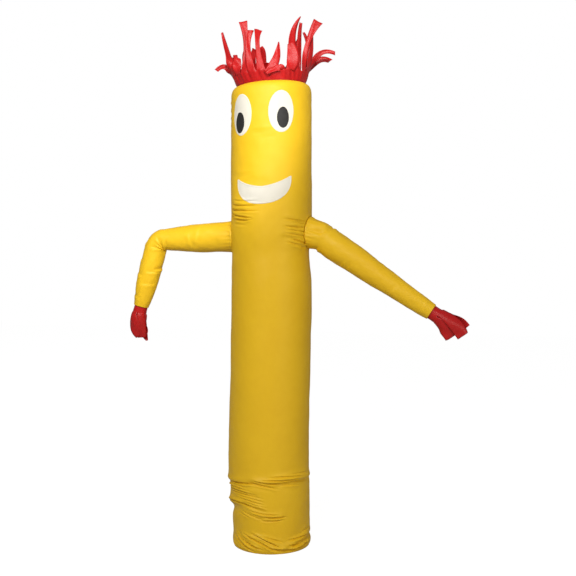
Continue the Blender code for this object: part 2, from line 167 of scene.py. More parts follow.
# The CAD's folds: from angle, from height, to angle, to height, half width, lift above, drop below, dent
BODY_FOLDS = (
    (-104.0, 0.212, -10.0, 0.236, 0.010, 0.0040, 0.0015, 0.0035),
    (-24.0, 0.236, 52.0, 0.234, 0.010, 0.0045, 0.0010, 0.0035),
    (22.0, 0.240, 112.0, 0.228, 0.011, 0.0060, 0.0000, 0.0035),
    (-14.0, 0.240, 26.0, 0.218, 0.009, 0.0015, 0.0025, 0.0020),
    (-84.0, 0.204, 6.0, 0.194, 0.010, 0.0025, 0.0025, 0.0025),
    (-66.0, 0.186, 0.0, 0.170, 0.009, 0.0010, 0.0015, 0.0015),
    (-134.0, 0.112, -16.0, 0.164, 0.014, 0.0070, 0.0065, 0.0020),
    (-34.0, 0.172, 12.0, 0.140, 0.010, 0.0035, 0.0015, 0.0025),
    (-28.0, 0.142, 6.0, 0.118, 0.009, 0.0025, 0.0010, 0.0025),
    (-8.0, 0.121, 40.0, 0.121, 0.009, 0.0030, 0.0005, 0.0020),
    (-60.0, 0.056, -14.0, 0.010, 0.008, 0.0030, 0.0010, 0.0020),
    (-44.0, 0.062, 0.0, 0.010, 0.008, 0.0035, 0.0010, 0.0025),
    (-16.0, 0.060, 38.0, 0.010, 0.009, 0.0030, 0.0010, 0.0020),
    (16.0, 0.006, 96.0, 0.050, 0.010, 0.0040, 0.0000, 0.0040),
    (64.0, 0.034, 158.0, 0.034, 0.010, 0.0015, 0.0000, 0.0085),
    (104.0, 0.226, 246.0, 0.236, 0.012, 0.0035, 0.0025, 0.0020),
    (138.0, 0.150, 228.0, 0.126, 0.014, 0.0045, 0.0050, 0.0015),
    (170.0, 0.062, 262.0, 0.024, 0.010, 0.0035, 0.0020, 0.0020),
    (-76.0, 1.170, -20.0, 1.150, 0.012, 0.0010, 0.0010, 0.0015),
    (-74.0, 1.146, -14.0, 1.132, 0.012, 0.0020, 0.0020, 0.0020),
    (-70.0, 1.122, -8.0, 1.104, 0.014, 0.0035, 0.0030, 0.0025),
    (26.0, 1.104, 66.0, 1.092, 0.011, 0.0020, 0.0015, 0.0015),
    (28.0, 1.076, 62.0, 1.070, 0.011, 0.0020, 0.0020, 0.0020),
    (22.0, 1.048, 64.0, 1.036, 0.012, 0.0025, 0.0020, 0.0020),
)

# Finer creases on the same cloth: from angle, from height, to angle, to height, half width, lift above,
# drop below, dent, bow. The first ones cross the band above the hem, then the hem, then the shoulders.
BODY_CREASES = (
    (-70.0, 0.220, 5.0, 0.234, 0.0040, 0.0012, -0.0026, 0.0036, 0.0020),
    (-12.0, 0.246, 35.0, 0.234, 0.0038, 0.0014, -0.0026, 0.0034, -0.0025),
    (0.0, 0.247, 70.0, 0.243, 0.0036, 0.0018, -0.0028, 0.0036, 0.0005),
    (10.0, 0.256, 75.0, 0.248, 0.0042, 0.0024, -0.0018, 0.0018, 0.0040),
    (40.0, 0.262, 90.0, 0.255, 0.0045, 0.0012, -0.0010, 0.0012, 0.0020),
    (-75.0, 0.212, -15.0, 0.216, 0.0036, 0.0010, -0.0020, 0.0026, 0.0070),
    (-60.0, 0.228, -25.0, 0.222, 0.0034, 0.0006, -0.0016, 0.0018, 0.0030),
    (-10.0, 0.232, 30.0, 0.215, 0.0038, 0.0008, -0.0020, 0.0024, 0.0020),
    (30.0, 0.231, 65.0, 0.222, 0.0040, 0.0006, -0.0014, 0.0016, 0.0010),
    (45.0, 0.238, 85.0, 0.226, 0.0040, 0.0006, -0.0014, 0.0016, 0.0020),
    (-75.0, 0.202, -5.0, 0.203, 0.0034, 0.0008, -0.0016, 0.0020, 0.0100),
    (-70.0, 0.196, 0.0, 0.192, 0.0036, 0.0008, -0.0018, 0.0022, 0.0090),
    (-70.0, 0.187, 10.0, 0.183, 0.0034, 0.0006, -0.0016, 0.0020, 0.0090),
    (-50.0, 0.187, 10.0, 0.171, 0.0034, 0.0006, -0.0016, 0.0020, 0.0060),
    (-40.0, 0.180, 10.0, 0.161, 0.0036, 0.0006, -0.0016, 0.0020, 0.0040),
    (-25.0, 0.170, 15.0, 0.152, 0.0034, 0.0004, -0.0014, 0.0016, 0.0020),
    (-80.0, 0.145, 0.0, 0.143, 0.0046, 0.0038, -0.0006, 0.0042, 0.0200),
    (-25.0, 0.146, 30.0, 0.132, 0.0036, 0.0010, -0.0026, 0.0028, -0.0045),
    (-35.0, 0.142, 10.0, 0.113, 0.0036, 0.0016, -0.0012, 0.0024, -0.0040),
    (0.0, 0.128, 40.0, 0.124, 0.0034, 0.0010, -0.0028, 0.0030, -0.0035),
    (-5.0, 0.112, 35.0, 0.115, 0.0034, 0.0022, -0.0004, 0.0024, -0.0015),
    (-45.0, 0.132, -15.0, 0.116, 0.0034, 0.0008, -0.0008, 0.0014, 0.0000),
    (-70.0, 0.020, -20.0, 0.001, 0.0038, 0.0026, -0.0024, 0.0034, 0.0005),
    (-60.0, 0.047, -5.0, 0.001, 0.0040, 0.0030, -0.0026, 0.0042, 0.0000),
    (-50.0, 0.060, 5.0, 0.014, 0.0040, 0.0028, -0.0026, 0.0042, -0.0055),
    (-35.0, 0.063, 25.0, 0.005, 0.0040, 0.0030, -0.0024, 0.0042, 0.0060),
    (-20.0, 0.068, 30.0, 0.017, 0.0044, 0.0024, -0.0020, 0.0034, 0.0050),
    (-5.0, 0.062, 35.0, 0.036, 0.0045, 0.0012, -0.0012, 0.0018, 0.0020),
    (10.0, 0.022, 60.0, 0.011, 0.0050, 0.0054, 0.0004, 0.0060, -0.0040),
    (40.0, 0.011, 95.0, 0.030, 0.0050, 0.0054, 0.0004, 0.0060, -0.0040),
    (35.0, 0.027, 90.0, 0.017, 0.0042, 0.0020, -0.0020, 0.0026, 0.0015),
    (40.0, 0.004, 95.0, 0.002, 0.0040, 0.0020, -0.0010, 0.0024, 0.0020),
    (35.0, 0.043, 90.0, 0.049, 0.0044, 0.0020, -0.0028, 0.0030, 0.0000),
    (60.0, 0.060, 95.0, 0.070, 0.0050, 0.0010, -0.0010, 0.0012, 0.0000),
    (-55.0, 1.176, 0.0, 1.163, 0.0045, 0.0010, -0.0014, 0.0018, -0.0030),
    (-60.0, 1.161, 0.0, 1.148, 0.0042, 0.0016, -0.0024, 0.0030, -0.0030),
    (-65.0, 1.146, 0.0, 1.130, 0.0040, 0.0018, -0.0026, 0.0034, -0.0020),
    (-60.0, 1.131, -10.0, 1.107, 0.0042, 0.0024, -0.0034, 0.0044, -0.0010),
    (-55.0, 1.114, -10.0, 1.104, 0.0042, 0.0020, -0.0020, 0.0028, -0.0040),
    (-50.0, 1.096, -20.0, 1.086, 0.0050, 0.0008, -0.0008, 0.0010, 0.0000),
    (30.0, 1.101, 80.0, 1.087, 0.0040, 0.0012, -0.0018, 0.0022, 0.0000),
    (40.0, 1.091, 80.0, 1.080, 0.0040, 0.0010, -0.0014, 0.0016, 0.0000),
    (30.0, 1.079, 75.0, 1.067, 0.0038, 0.0014, -0.0018, 0.0024, -0.0005),
    (35.0, 1.067, 75.0, 1.055, 0.0036, 0.0012, -0.0016, 0.0022, -0.0010),
    (30.0, 1.056, 75.0, 1.042, 0.0038, 0.0014, -0.0018, 0.0024, -0.0010),
    (45.0, 1.036, 80.0, 1.018, 0.0042, 0.0022, -0.0028, 0.0036, -0.0020),
    (35.0, 1.030, 70.0, 1.012, 0.0042, 0.0020, -0.0024, 0.0030, -0.0030),
    (40.0, 1.020, 80.0, 1.005, 0.0042, 0.0014, -0.0018, 0.0022, -0.0030),
    (50.0, 1.006, 85.0, 0.990, 0.0050, 0.0010, -0.0012, 0.0014, 0.0000),
    (-18.0, 1.390, 22.0, 1.386, 0.0060, 0.0010, 0.0004, 0.0014, 0.0010),
    (-4.0, 1.374, 26.0, 1.371, 0.0060, 0.0008, 0.0004, 0.0010, 0.0010),
    (-60.0, 1.262, -2.0, 1.246, 0.0055, 0.0012, 0.0004, 0.0016, 0.0010),
    (-36.0, 1.238, 16.0, 1.230, 0.0050, 0.0010, 0.0004, 0.0014, 0.0010),
    (-96.0, 1.506, -62.0, 1.494, 0.0050, 0.0012, 0.0006, 0.0014, 0.0000),
    (-98.0, 1.480, -64.0, 1.470, 0.0050, 0.0012, 0.0006, 0.0014, 0.0000),
    (-96.0, 1.452, -66.0, 1.446, 0.0050, 0.0012, 0.0006, 0.0014, 0.0000),
    (-94.0, 1.426, -70.0, 1.420, 0.0050, 0.0010, 0.0006, 0.0012, 0.0000),
    (118.0, 0.244, 196.0, 0.238, 0.0060, 0.0022, -0.0016, 0.0024, 0.0020),
    (168.0, 0.226, 232.0, 0.242, 0.0060, 0.0020, -0.0016, 0.0020, -0.0020),
    (196.0, 0.212, 258.0, 0.204, 0.0060, 0.0012, -0.0014, 0.0016, 0.0040),
    (126.0, 0.160, 186.0, 0.140, 0.0060, 0.0022, -0.0014, 0.0022, 0.0030),
    (176.0, 0.052, 220.0, 0.012, 0.0060, 0.0024, -0.0018, 0.0026, 0.0020),
    (196.0, 0.060, 250.0, 0.018, 0.0060, 0.0024, -0.0018, 0.0026, 0.0020),
    (112.0, 0.012, 160.0, 0.044, 0.0060, 0.0024, -0.0010, 0.0026, 0.0020),
    (136.0, 0.010, 186.0, 0.036, 0.0060, 0.0020, -0.0010, 0.0022, 0.0000),
    (114.0, 1.112, 150.0, 1.096, 0.0060, 0.0014, -0.0014, 0.0020, 0.0010),
    (112.0, 1.068, 152.0, 1.062, 0.0060, 0.0014, -0.0014, 0.0020, 0.0010),
    (112.0, 1.032, 156.0, 1.016, 0.0060, 0.0016, -0.0016, 0.0022, 0.0010),
    (206.0, 1.104, 248.0, 1.118, 0.0060, 0.0014, -0.0014, 0.0020, 0.0010),
    (208.0, 1.070, 246.0, 1.066, 0.0060, 0.0012, -0.0014, 0.0018, 0.0010),
    (204.0, 1.022, 248.0, 1.036, 0.0060, 0.0014, -0.0014, 0.0018, 0.0010),
)

# How many times deeper than in their table the finer creases lie
CREASE_DEPTH = 1.35

# Slow unevenness of inflated cloth: waves round, waves per metre along, phase, height
RIPPLES = (
    (2, 2.1, 0.4, 0.00050),
    (3, -3.4, 2.1, 0.00045),
    (5, 5.3, 4.0, 0.00030),
    (7, -8.9, 1.2, 0.00022),
    (9, 13.0, 5.5, 0.00016),
    (13, -21.0, 0.9, 0.00010),
    (4, 31.0, 3.3, 0.00008),
    (21, 9.0, 2.6, 0.00007),
)

# name, eye angle, pupil angle, pupil height
EYES = (
    ("left", -31.2, -33.6, 1.424),
    ("right", 28.8, 31.0, 1.429),
)

# distance along the arm, radius, rise of the middle over the straight line to the wrist
ARM_RIGHT_SHAPE = (
    (0.000, 0.0505, 0.0040),
    (0.042, 0.0490, 0.0095),
    (0.066, 0.0475, 0.0090),
    (0.100, 0.0490, 0.0065),
    (0.180, 0.0460, 0.0060),
    (0.280, 0.0400, 0.0030),
    (0.373, 0.0345, 0.0010),
    (0.450, 0.0305, 0.0000),
    (0.481, 0.0275, 0.0000),
)
ARM_RIGHT_WRIST = Vector((0.540, -0.004, 0.8025))
ARM_RIGHT_FIRST = 0.105
ARM_LEFT_SHAPE = (
    (0.000, 0.0520, 0.0000),
    (0.060, 0.0505, 0.0000),
    (0.125, 0.0485, 0.0000),
    (0.190, 0.0430, 0.0000),
    (0.240, 0.0385, 0.0000),
    (0.300, 0.0385, 0.0000),
    (0.380, 0.0385, 0.0000),
    (0.430, 0.0365, 0.0000),
    (0.485, 0.0305, 0.0000),
    (0.508, 0.0265, 0.0000),
)
ARM_LEFT_ELBOW_CREASE = Vector((-0.380, 0.000, 0.999))
ARM_LEFT_ELBOW_PINCH = 0.0035
ARM_LEFT_WRIST = Vector((-0.476, 0.000, 0.8075))
ARM_LEFT_FIRST = 0.16

# Creases on an arm. 0 degrees is its upper side, 90 its front, 180 its lower side.
# from degrees, from distance, to degrees, to distance, half width, lift beyond, drop before, dent
ARM_RIGHT_CREASES = (
    (-50.0, 0.070, 60.0, 0.062, 0.0060, 0.0020, 0.0020, 0.0020),
    (-30.0, 0.058, 70.0, 0.036, 0.0050, 0.0014, 0.0014, 0.0014),
    (30.0, 0.066, 128.0, 0.030, 0.0055, 0.0018, 0.0012, 0.0018),
    (90.0, 0.048, 200.0, 0.030, 0.0060, 0.0030, 0.0010, 0.0030),
    (120.0, 0.062, 230.0, 0.052, 0.0060, 0.0020, 0.0010, 0.0020),
    (60.0, 0.020, 150.0, 0.014, 0.0050, 0.0016, 0.0010, 0.0016),
    (100.0, 0.160, 170.0, 0.148, 0.0070, 0.0010, 0.0006, 0.0010),
    (96.0, 0.182, 160.0, 0.176, 0.0070, 0.0008, 0.0006, 0.0008),
    (-70.0, 0.240, 40.0, 0.268, 0.0080, 0.0008, 0.0006, 0.0008),
    (60.0, 0.350, 150.0, 0.330, 0.0070, 0.0008, 0.0006, 0.0008),
    (20.0, 0.440, 130.0, 0.458, 0.0060, 0.0010, 0.0006, 0.0010),
    (230.0, 0.080, 320.0, 0.060, 0.0060, 0.0016, 0.0010, 0.0016),
    (210.0, 0.300, 320.0, 0.318, 0.0080, 0.0010, 0.0006, 0.0010),
)
ARM_LEFT_CREASES = (
    (10.0, 0.030, 120.0, 0.016, 0.0055, 0.0014, 0.0010, 0.0014),
    (70.0, 0.026, 190.0, 0.030, 0.0060, 0.0016, 0.0010, 0.0016),
    (40.0, 0.104, 130.0, 0.122, 0.0070, 0.0008, 0.0006, 0.0008),
    (60.0, 0.146, 140.0, 0.134, 0.0070, 0.0008, 0.0006, 0.0008),
    (80.0, 0.232, 200.0, 0.252, 0.0055, 0.0020, 0.0012, 0.0020),
    (60.0, 0.262, 170.0, 0.262, 0.0050, 0.0016, 0.0012, 0.0018),
    (90.0, 0.276, 200.0, 0.268, 0.0050, 0.0020, 0.0012, 0.0022),
    (70.0, 0.300, 190.0, 0.282, 0.0055, 0.0018, 0.0012, 0.0018),
    (-60.0, 0.258, 40.0, 0.246, 0.0060, 0.0010, 0.0008, 0.0012),
    (-50.0, 0.286, 50.0, 0.292, 0.0060, 0.0012, 0.0008, 0.0012),
    (-60.0, 0.316, 30.0, 0.308, 0.0060, 0.0012, 0.0008, 0.0012),
    (-40.0, 0.338, 60.0, 0.352, 0.0060, 0.0010, 0.0008, 0.0010),
    (120.0, 0.372, 220.0, 0.360, 0.0050, 0.0034, 0.0022, 0.0024),
    (80.0, 0.386, 190.0, 0.372, 0.0050, 0.0016, 0.0010, 0.0016),
    (-30.0, 0.392, 90.0, 0.404, 0.0070, 0.0010, 0.0008, 0.0010),
    (60.0, 0.432, 170.0, 0.418, 0.0070, 0.0010, 0.0008, 0.0010),
    (-20.0, 0.470, 100.0, 0.484, 0.0060, 0.0010, 0.0008, 0.0010),
    (200.0, 0.250, 320.0, 0.262, 0.0060, 0.0018, 0.0010, 0.0018),
    (210.0, 0.330, 320.0, 0.344, 0.0070, 0.0012, 0.0008, 0.0012),
)

# Strips of hair round the collar, from the back by way of -X, each through a middle to a tip. Both are
# places in the upright plane through the body's middle that faces the camera: across and height of the
# middle, across and height of the tip, share of the root's nearness kept at the tip, face's turn from
# the camera in degrees, width midway, width at the tip, slant of the cut, flutter
HAIR_LINES = (
    (0.060, 1.620, 0.084, 1.668, 0.7, 20.0, 0.024, 0.020, 0.2, 0.002),
    (-0.012, 1.605, -0.018, 1.635, 0.8, -20.0, 0.028, 0.022, 0.1, 0.002),
    (-0.030, 1.645, -0.036, 1.686, 0.7, 20.0, 0.030, 0.018, 0.3, 0.003),
    (-0.062, 1.640, -0.059, 1.680, 0.7, -35.0, 0.028, 0.018, -0.2, 0.003),
    (-0.088, 1.642, -0.087, 1.684, 0.7, 50.0, 0.026, 0.016, 0.2, 0.003),
    (-0.114, 1.615, -0.122, 1.660, 0.8, -30.0, 0.026, 0.016, 0.2, 0.002),
    (-0.128, 1.612, -0.128, 1.650, 0.9, 20.0, 0.028, 0.018, 0.2, 0.002),
    (-0.153, 1.618, -0.185, 1.607, 1.0, 10.0, 0.019, 0.014, 0.2, 0.001),
    (-0.148, 1.668, -0.165, 1.734, 0.7, 45.0, 0.023, 0.010, 0.3, 0.001),
    (-0.116, 1.625, -0.114, 1.652, 0.9, -15.0, 0.032, 0.024, -0.3, 0.002),
    (-0.086, 1.686, -0.095, 1.771, 0.7, 0.0, 0.015, 0.029, 0.0, 0.001),
    (-0.078, 1.685, -0.069, 1.742, 0.8, 15.0, 0.017, 0.020, 0.4, 0.002),
    (-0.046, 1.692, -0.044, 1.746, 0.7, -10.0, 0.015, 0.028, -0.2, 0.002),
    (0.019, 1.657, 0.024, 1.704, 0.9, 20.0, 0.024, 0.003, 0.2, 0.001),
    (0.022, 1.617, -0.020, 1.603, 1.1, 5.0, 0.020, 0.018, 0.2, 0.001),
    (0.072, 1.650, 0.066, 1.702, 0.9, 0.0, 0.038, 0.024, 0.2, 0.002),
    (0.070, 1.705, 0.098, 1.788, 0.6, 35.0, 0.030, 0.004, 0.3, 0.001),
    (0.121, 1.695, 0.158, 1.773, 0.7, 0.0, 0.016, 0.033, 0.1, 0.001),
    (0.132, 1.668, 0.136, 1.722, 0.8, 45.0, 0.024, 0.016, 0.3, 0.002),
    (0.160, 1.662, 0.215, 1.666, 1.0, 15.0, 0.018, 0.012, 0.4, 0.002),
    (0.126, 1.672, 0.109, 1.736, 0.6, -30.0, 0.020, 0.008, 0.3, 0.002),
    (0.150, 1.637, 0.199, 1.641, 0.9, -15.0, 0.024, 0.018, 0.5, 0.002),
    (0.092, 1.675, 0.100, 1.768, 0.5, 35.0, 0.022, 0.012, 0.2, 0.002),
    (0.080, 1.670, 0.100, 1.718, 0.6, -25.0, 0.024, 0.015, 0.3, 0.002),
)
# Strips of a hand round its cuff: x, y, z of the middle and of the tip from the root, turn, width midway,
# width at the tip, slant, flutter
HAND_LEFT_LINES = (
    (0.006, -0.008, -0.056, 0.026, -0.018, -0.100, 20.0, 0.032, 0.008, 0.3, 0.001),
    (-0.004, -0.003, -0.040, -0.004, -0.008, -0.076, -6.0, 0.038, 0.024, 0.1, 0.001),
    (-0.004, 0.003, -0.044, -0.002, 0.011, -0.085, 8.0, 0.042, 0.029, -0.1, 0.001),
    (0.000, -0.001, -0.042, 0.016, 0.008, -0.084, -8.0, 0.044, 0.031, 0.1, 0.001),
    (0.000, -0.002, -0.040, 0.018, -0.006, -0.080, 8.0, 0.040, 0.024, 0.0, 0.001),
)
HAND_RIGHT_LINES = (
    (0.040, -0.006, -0.027, 0.066, -0.012, -0.060, 8.0, 0.044, 0.038, 0.2, 0.001),
    (0.044, -0.002, -0.027, 0.079, -0.006, -0.056, -8.0, 0.040, 0.032, 0.1, 0.001),
    (0.046, 0.001, -0.032, 0.074, 0.010, -0.074, 10.0, 0.046, 0.038, 0.2, 0.001),
    (0.031, 0.002, -0.024, 0.050, 0.012, -0.058, -8.0, 0.044, 0.038, 0.1, 0.001),
    (0.028, 0.000, -0.020, 0.044, -0.004, -0.046, 8.0, 0.040, 0.034, 0.1, 0.001),
)


# ---------------------------------------------------------------- forms


def ramp(value, low, high):
    """0 below low, 1 above high, smooth between."""
    t = np.clip((value - low) / (high - low), 0.0, 1.0)
    return t * t * (3 - 2 * t)


def eased(t, first, first_slope, last, last_slope):
    """A value on the smooth curve from first to last that has these slopes at its ends."""
    return (
        (2 * t**3 - 3 * t**2 + 1) * first
        + (t**3 - 2 * t**2 + t) * first_slope
        + (3 * t**2 - 2 * t**3) * last
        + (t**3 - t**2) * last_slope
    )


def smooth(table, at, column):
    """The table's column at places along its first column, on a smooth curve through its rows."""
    keys = np.array([row[0] for row in table])
    values = np.array([row[column] for row in table])
    last = len(keys) - 1
    i = np.clip(np.searchsorted(keys, at) - 1, 0, last - 1)
    before, after = np.maximum(i - 1, 0), np.minimum(i + 2, last)
    span = keys[i + 1] - keys[i]
    t = np.clip((at - keys[i]) / span, 0.0, 1.0)
    slope_low = (values[i + 1] - values[before]) / (keys[i + 1] - keys[before]) * span
    slope_high = (values[after] - values[i]) / (keys[after] - keys[i]) * span
    return eased(t, values[i], slope_low, values[i + 1], slope_high)


def fold_field(table, turn, along, metres):
    """How far a table of folds lifts the cloth at places (turn in degrees, metres along)."""
    total = np.zeros(np.broadcast(turn, along).shape)
    for from_turn, from_along, to_turn, to_along, half, lift, drop, dent, *bow in table:
        span, rise = (to_turn - from_turn) * metres, to_along - from_along
        middle = (from_turn + to_turn) / 2
        round_it = ((turn - middle + 180) % 360 - 180 + middle - from_turn) * metres
        length = math.hypot(span, rise)
        share = (round_it * span + (along - from_along) * rise) / length**2
        across = ((along - from_along) * span - round_it * rise) / length
        across = (across - sum(bow) * 4 * share * (1 - share)) / half
        bump = np.abs(across) * np.exp(0.5 * (1 - across**2))
        size = np.where(across > 0, lift, -drop)
        fade = ramp(share, 0.0, 0.3) * ramp(1 - share, 0.0, 0.3)
        near = (share > 0) & (share < 1) & (np.abs(across) < 4)
        total += np.where(near, fade * (size * bump - dent * np.exp(-2 * across**2)), 0.0)
    return total


def ripple_field(turn, along, size=1.0):
    """Slow waves in the cloth."""
    total = np.zeros(np.broadcast(turn, along).shape)
    for waves, per_metre, phase, height in RIPPLES:
        total += height * np.sin(waves * np.radians(turn) + 2 * math.pi * per_metre * along + phase)
    return size * total


def seam_field(angle, height):
    """The groove at an arm's seam and the puckers that fan out from it over the body."""
    total = np.zeros(np.broadcast(angle, height).shape)
    for side in (-1, 1):
        forward = side * BODY_RADIUS * np.cos(np.radians(angle))
        rise = height - SHOULDER_HEIGHT
        beside = side * np.sin(np.radians(angle)) > 0.2
        away = np.hypot(forward, rise)
        turn = np.arctan2(forward, rise)
        puckers = np.sin(19 * turn + 1.3 * np.sin(2 * turn)) + 0.6 * np.sin(31 * turn + 2.0 * np.sin(3 * turn))
        reach = np.exp(-np.maximum(away - ARMHOLE_RADIUS, 0.0) / 0.011)
        outside = ramp(away, ARMHOLE_RADIUS - 0.006, ARMHOLE_RADIUS + 0.004)
        welt = 0.0016 * np.exp(-(((away - ARMHOLE_RADIUS - 0.0052) / 0.0030) ** 2))
        groove = 0.0014 * np.exp(-(((away - ARMHOLE_RADIUS - 0.0008) / 0.0022) ** 2))
        total += np.where(beside, 0.0009 * puckers * reach * outside + welt - groove, 0.0)
    return total


def body_points(angle, height, out=0.0):
    """Places on the body's cloth, or out metres off it, as an array of x, y, z."""
    angle, height = np.broadcast_arrays(np.asarray(angle, float), np.asarray(height, float))
    around, step = np.radians(angle), 0.001
    rise = smooth(BODY_SECTIONS, height + step, 1) - smooth(BODY_SECTIONS, height - step, 1)
    slope = rise / (2 * step)
    lean = np.hypot(1.0, slope)
    metres = math.radians(1.0) * BODY_RADIUS
    calm = ramp(height, 0.0, 0.012) * ramp(RIM_HEIGHT - height, 0.0, 0.03)
    radius = smooth(BODY_SECTIONS, height, 1) + fold_field(BODY_FOLDS, angle, height, metres)
    radius = radius + calm * CREASE_DEPTH * fold_field(BODY_CREASES, angle, height, metres)
    radius = radius + calm * (ripple_field(angle, height) + seam_field(angle, height)) + out / lean
    x = smooth(BODY_SECTIONS, height, 2) + radius * np.sin(around)
    z = height - out * slope / lean + TILT * ramp(height, TILT_FROM, TILT_TO) * x
    return np.stack([x, -radius * np.cos(around), z], axis=-1)


# ---------------------------------------------------------------- meshes


def grid_faces(rows, columns, closed):
    """Quads of a grid of points, row after row."""
    row, column = np.meshgrid(np.arange(rows - 1), np.arange(columns if closed else columns - 1), indexing="ij")
    after = (column + 1) % columns
    quads = np.stack(
        [row * columns + column, row * columns + after, (row + 1) * columns + after, (row + 1) * columns + column],
        axis=-1,
    )
    return quads.reshape(-1, 4)


def add_sheet(name, points, faces, flat_places, finish):
    """A mesh with the places of its points on the flat cloth, in metres, as UVs."""
    mesh = bpy.data.meshes.new(name)
    mesh.from_pydata([tuple(p) for p in points], [], [tuple(int(i) for i in f) for f in faces])
    layer = mesh.uv_layers.new(name="UVMap")
    corners = np.zeros(len(mesh.loops), dtype=np.int32)
    mesh.loops.foreach_get("vertex_index", corners)
    layer.data.foreach_set("uv", np.asarray(flat_places, dtype=np.float32)[corners].ravel())
    mesh.shade_smooth()
    made = bpy.data.objects.new(name, mesh)
    made.data.materials.append(finish)
    bpy.context.scene.collection.objects.link(made)
    return made


def body_angles():
    """Angles of the body's columns, closer together over the front than over the back."""
    front = np.linspace(-BODY_FRONT, BODY_FRONT, BODY_FRONT_COLUMNS, endpoint=False)
    back = np.linspace(BODY_FRONT, 360.0 - BODY_FRONT, BODY_BACK_COLUMNS, endpoint=False)
    return np.concatenate([front, back])


def body_heights():
    """Heights of the body's rows, closest together where it creases most."""
    heights = [BODY_ROWS[0][0]]
    for low, high, rows in BODY_ROWS:
        heights += [low + (high - low) * (i + 1) / rows for i in range(rows)]
    return np.array(heights)


def round_armhole(points, side):
    """Moves the grid's points next to an armhole on to its edge, and says which points it takes away."""
    centre_x = side * float(smooth(BODY_SECTIONS, np.array(SHOULDER_HEIGHT), 1))
    centre_z = SHOULDER_HEIGHT + TILT * centre_x
    hole, band = ARMHOLE_RADIUS - 0.004, 0.0024
    y, z = points[..., 1], points[..., 2] - centre_z
    away = np.hypot(y, z)
    beside = points[..., 0] * side > 0.05
    move = beside & (away < hole) & (away > hole - band)
    share = np.where(move, hole / np.maximum(away, 1e-6), 1.0)
    points[..., 1] = y * share
    points[..., 2] = centre_z + z * share
    return beside & (away <= hole - band)


def drawn_in(row, inward):
    """A copy of a row of points, moved inward metres towards the upright axis."""
    row = row.copy()
    away = np.hypot(row[:, 0], row[:, 1])
    row[:, :2] *= ((away - inward) / away)[:, None]
    return row


def body(finish):
    """The body: a tube with a rolled hem, an edge turned in at the crown and two armholes."""
    angles, heights = body_angles(), body_heights()
    columns = len(angles)
    points = body_points(angles[None, :], heights[:, None])
    points[0, :, 2] = 0.0
    gone = round_armhole(points, 1) | round_armhole(points, -1)
    flat = np.stack(np.broadcast_arrays(angles[None, :] / 360.0 * BODY_GIRTH, heights[:, None]), axis=-1).copy()
    lip_rows = []
    for inward, up in HEM_TURN:
        row = drawn_in(points[0], inward)
        row[:, 2] = up
        lip_rows.append(row)
    top_rows = []
    for inward, down in CROWN_TURN:
        row = drawn_in(points[-1], inward)
        row[:, 2] -= down
        top_rows.append(row)
    everything = np.concatenate([np.array(lip_rows[::-1]), points, np.array(top_rows)])
    missing = np.zeros(everything.shape[:2], bool)
    missing[len(lip_rows) : len(lip_rows) + len(points)] = gone
    low = np.stack([flat[0, :, 0], np.full(columns, 0.0)], axis=-1)
    high = np.stack([flat[0, :, 0], np.full(columns, RIM_HEIGHT)], axis=-1)
    places = np.concatenate(
        [
            np.array([low - (0.0, up) for _, up in reversed(HEM_TURN)]),
            flat,
            np.array([high + (0.0, d) for d in (0.001, 0.003, 0.009)]),
        ]
    )
    count = everything.shape[0]
    faces = grid_faces(count, columns, True)
    faces = faces[~missing.reshape(-1)[faces].any(axis=1)]
    made = add_sheet("body_cloth", everything.reshape(-1, 3), faces, places.reshape(-1, 2), finish)
    clean_loose(made)
    return made


def clean_loose(made):
    """Deletes points that no face uses."""
    bm = bmesh.new()
    bm.from_mesh(made.data)
    bmesh.ops.delete(bm, geom=[v for v in bm.verts if not v.link_faces], context="VERTS")
    bm.to_mesh(made.data)
    bm.free()
    made.data.shade_smooth()


def armhole_centre(side):
    x = side * float(smooth(BODY_SECTIONS, np.array(SHOULDER_HEIGHT), 1))
    return Vector((x, 0.0, SHOULDER_HEIGHT + TILT * x))


def armhole_ring(side, radius, out):
    """A round outline on the body's side, seen along X, out metres off the cloth."""
    turn = 2 * math.pi * np.arange(ARM_COLUMNS) / ARM_COLUMNS
    height = SHOULDER_HEIGHT + radius * np.cos(turn)
    forward = radius * np.sin(turn) / smooth(BODY_SECTIONS, height, 1)
    angle = side * (90.0 - np.degrees(np.arcsin(forward)))
    return body_points(angle, height, out)


def arm_right_stations():
    start, end = armhole_centre(1), ARM_RIGHT_WRIST
    span = end - start
    shares = [ARM_RIGHT_FIRST + (1 - ARM_RIGHT_FIRST) * i / 170 for i in range(171)]
    return [(start + span * share, span.normalized()) for share in shares]


def arm_left_stations():
    """Along the upper arm, round the elbow about its inner crease, and down the forearm."""
    start, crease, wrist = armhole_centre(-1), ARM_LEFT_ELBOW_CREASE, ARM_LEFT_WRIST
    reach = float(smooth(ARM_LEFT_SHAPE, np.array(0.270), 1)) + ARM_LEFT_ELBOW_PINCH
    first = (crease + Vector((0.0, 0.0, reach)) - start).normalized()
    forearm = wrist - crease
    last = Matrix.Rotation(-math.asin(reach / forearm.length), 3, "Y") @ forearm.normalized()
    bend, turns = first.angle(last), 26
    stations = []
    corner = crease + reach * Vector((first.z, 0.0, -first.x))
    for i in range(80):
        stations.append((start.lerp(corner, ARM_LEFT_FIRST + (1 - ARM_LEFT_FIRST) * i / 80), first))
    for i in range(turns):
        along = Matrix.Rotation(-bend * i / (turns - 1), 3, "Y") @ first
        corner = crease + reach * Vector((along.z, 0.0, -along.x))
        stations.append((corner, along))
    for i in range(84):
        stations.append((corner.lerp(wrist, (i + 1) / 84), last))
    return stations


